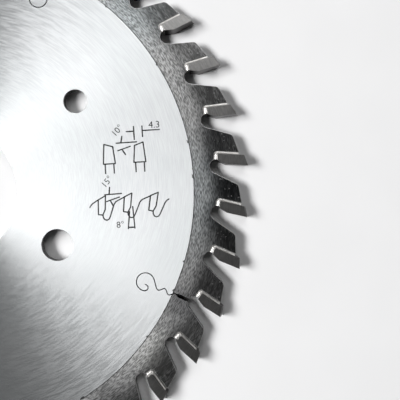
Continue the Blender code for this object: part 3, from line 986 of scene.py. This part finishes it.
def wall_steel():
    """Milled walls with a painted highlight along their rounded edges, and painted shade on the walls of the
    slots' mouths.
    """
    look = Finish("wall_steel", metallic=1.0)
    lines = look.noise(look.vector("MULTIPLY", look.place, (1.0, 1.0, 0.05)), 2500.0, 2.0)
    lines = look.ramp(lines, *CRISP_NOISE)
    height = look.maths("ABSOLUTE", look.add("SeparateXYZ", look.place).outputs[2])
    round_start = RIM_TOP - PLATE_EDGE
    # Painted highlight: a light line where the walls' rounded edges begin
    edge_highlight = look.ramp(height, round_start - EDGE_HIGHLIGHT_HALF_WIDTH, round_start + EDGE_HIGHLIGHT_HALF_WIDTH)
    edge_highlight = look.maths("MULTIPLY", edge_highlight, look.ramp(height, RIM_TOP, RIM_TOP + EDGE_HIGHLIGHT_END, 1.0, 0.0))
    colour = look.mix(edge_highlight, look.mix(lines, *map(grey, WALL_LEVELS)), grey(0.8))
    distance, _ = look.reach()
    # Painted shade: the walls of the slots' mouths made near black, as the narrow cut lets little light in
    mouth_shade = look.ramp(distance, *MOUTH_SHADE_FROM)
    mouth_shade = look.maths("MULTIPLY", mouth_shade, look.ramp(distance, *MOUTH_SHADE_TO, 1.0, 0.0))
    colour = look.mix(mouth_shade, colour, grey(0.015))
    look.bump(lines, distance=0.01 * MM, strength=0.4)
    return look.finish(colour, look.ramp(lines, 0.0, 1.0, 0.45, 0.3))


def carbide():
    """Dark sintered carbide with fine grinding lines, with painted shade making its rake, top and foot darker
    than its sides.
    """
    look = Finish("carbide", metallic=1.0)
    lines = look.ramp(look.strokes((0.0, 0.0), *CARBIDE_LINE_CELLS), *CRISP_NOISE)
    grain = look.ramp(look.noise(look.place, 900.0, 3.0), *CRISP_NOISE)
    body = look.mix(lines, grey(0.28, 0.01), grey(0.36, 0.015))
    colour = look.mix(look.maths("MULTIPLY", grain, CARBIDE_GRAIN_SHARE), body, grey(0.25, 0.02))
    # Painted shade: faces standing square to the tip's sides, its rake, top and foot, are made darker
    normal = look.add("TexCoord").outputs["Normal"]
    level = look.maths("ABSOLUTE", look.add("SeparateXYZ", normal).outputs[2])
    colour = look.mix(look.ramp(level, 0.3, 0.7, 1.0, 0.0), colour, grey(0.1, 0.02))
    look.bump(lines, distance=0.004 * MM, strength=0.35)
    return look.finish(colour, look.ramp(grain, 0.0, 1.0, 0.33, 0.38))


def silver():
    """Bright silver solder, smooth and slightly lumpy."""
    look = Finish("silver_solder", metallic=1.0)
    lumps = look.noise(look.place, 900.0, 2.0)
    stain = look.ramp(look.noise(look.place, 450.0, 3.0), 0.5, 0.75)
    look.bump(lumps, distance=0.03 * MM, strength=0.4)
    colour = look.mix(stain, *SILVER_COLOURS)
    return look.finish(colour, look.ramp(lumps, *SOFT_NOISE, 0.3, 0.4))


def ink():
    """Black ink, thin in places."""
    look = Finish("black_ink", metallic=0.0)
    thin = look.ramp(look.noise(look.place, 700.0, 3.0), 0.45, 0.75)
    return look.finish(look.mix(thin, grey(0.014), grey(0.06)), look.ramp(thin, 0.0, 1.0, 0.4, 0.6))


# Studio

def photo_direction(azimuth, elevation):
    """A direction in the photograph's own compass: 0 to its right, 90 to its top."""
    turn = math.radians(azimuth) + CAMERA_TURN
    level = math.cos(math.radians(elevation))
    return Vector((level * math.cos(turn), level * math.sin(turn), math.sin(math.radians(elevation))))


def lamp(name, azimuth, elevation, distance, width, height, power, roll=0.0):
    """A soft area lamp aimed at what the camera sees, turned about its own beam by the roll."""
    light = bpy.data.lights.new(name, "AREA")
    light.shape = "RECTANGLE"
    light.size = width
    light.size_y = height
    light.energy = power
    holder = bpy.data.objects.new(name, light)
    bpy.context.scene.collection.objects.link(holder)
    towards = photo_direction(azimuth, elevation)
    holder.location = Vector((CAMERA_PLACE.x, CAMERA_PLACE.y, 0.0)) + distance * towards
    aim = (-towards).to_track_quat("-Z", "Y")
    holder.rotation_euler = (aim @ Quaternion((0.0, 0.0, 1.0), math.radians(roll))).to_euler()


def make_world():
    """A dim room with pale walls, which the camera and the metal see and which light nothing."""
    world = bpy.data.worlds.new("studio")
    bpy.context.scene.world = world
    world.use_nodes = True
    look = Nodes(world.node_tree)
    direction = look.add("TexCoord").outputs["Generated"]
    height = look.share_along(direction, (0.0, 0.0, 1.0))
    faded = look.ramp(height, *WALL_FADE, BACKDROP_LEVEL, 0.0)
    walls = look.maths("MULTIPLY", faded, look.seen_or_mirrored())
    look.link(look.maths("ADD", walls, ROOM_LEVEL), look.nodes["Background"].inputs["Strength"])
    look.link(WHITE, look.nodes["Background"].inputs["Color"])


def make_floor():
    """A plain pale floor under the lowest corners of the tips."""
    mesh = bpy.data.meshes.new("floor")
    body = bmesh.new()
    bmesh.ops.create_grid(body, x_segments=1, y_segments=1, size=FLOOR_HALF_SIZE)
    body.to_mesh(mesh)
    body.free()
    floor = bpy.data.objects.new("floor", mesh)
    bpy.context.scene.collection.objects.link(floor)
    floor.location.z = CAD_BOUNDS[0].z - FLOOR_GAP
    look = Finish("pale_floor", metallic=0.0)
    paper = look.ramp(look.noise(look.place, 30.0, 2.0), *SOFT_NOISE)
    look.finish(look.mix(paper, *FLOOR_COLOURS), FLOOR_ROUGHNESS)
    away, _ = look.reach()
    far = look.ramp(away, *FLOOR_FADE)
    seen = look.maths("MULTIPLY", far, look.seen_or_mirrored())
    backdrop = look.add("Emission", WHITE, BACKDROP_LEVEL).outputs[0]
    both = look.add("MixShader", seen, look.shader.outputs[0], backdrop).outputs[0]
    look.link(both, look.nodes["Material Output"].inputs["Surface"])
    floor.data.materials.append(look.material)


def make_camera():
    """The photograph's view, straight down on the teeth."""
    data = bpy.data.cameras.new("camera")
    data.lens = CAMERA_LENS
    data.sensor_width = CAMERA_SENSOR
    data.clip_start = CAMERA_CLIP_START
    camera = bpy.data.objects.new("camera", data)
    bpy.context.scene.collection.objects.link(camera)
    camera.location = CAMERA_PLACE
    camera.rotation_euler.z = CAMERA_TURN
    bpy.context.scene.camera = camera


def main():
    make_camera()
    make_plate(hub_steel(), rim_steel(), wall_steel())
    make_tips(carbide())
    make_braze(silver())
    make_print(ink())
    make_floor()
    make_world()
    lamp("key", azimuth=179.7, elevation=45.0, distance=2.0, width=1.1, height=0.55, power=47.0, roll=33.0)
    lamp("top", azimuth=85.0, elevation=50.0, distance=2.0, width=1.4, height=1.0, power=10.5)
    bpy.context.scene.view_settings.view_transform = "Standard"


main()
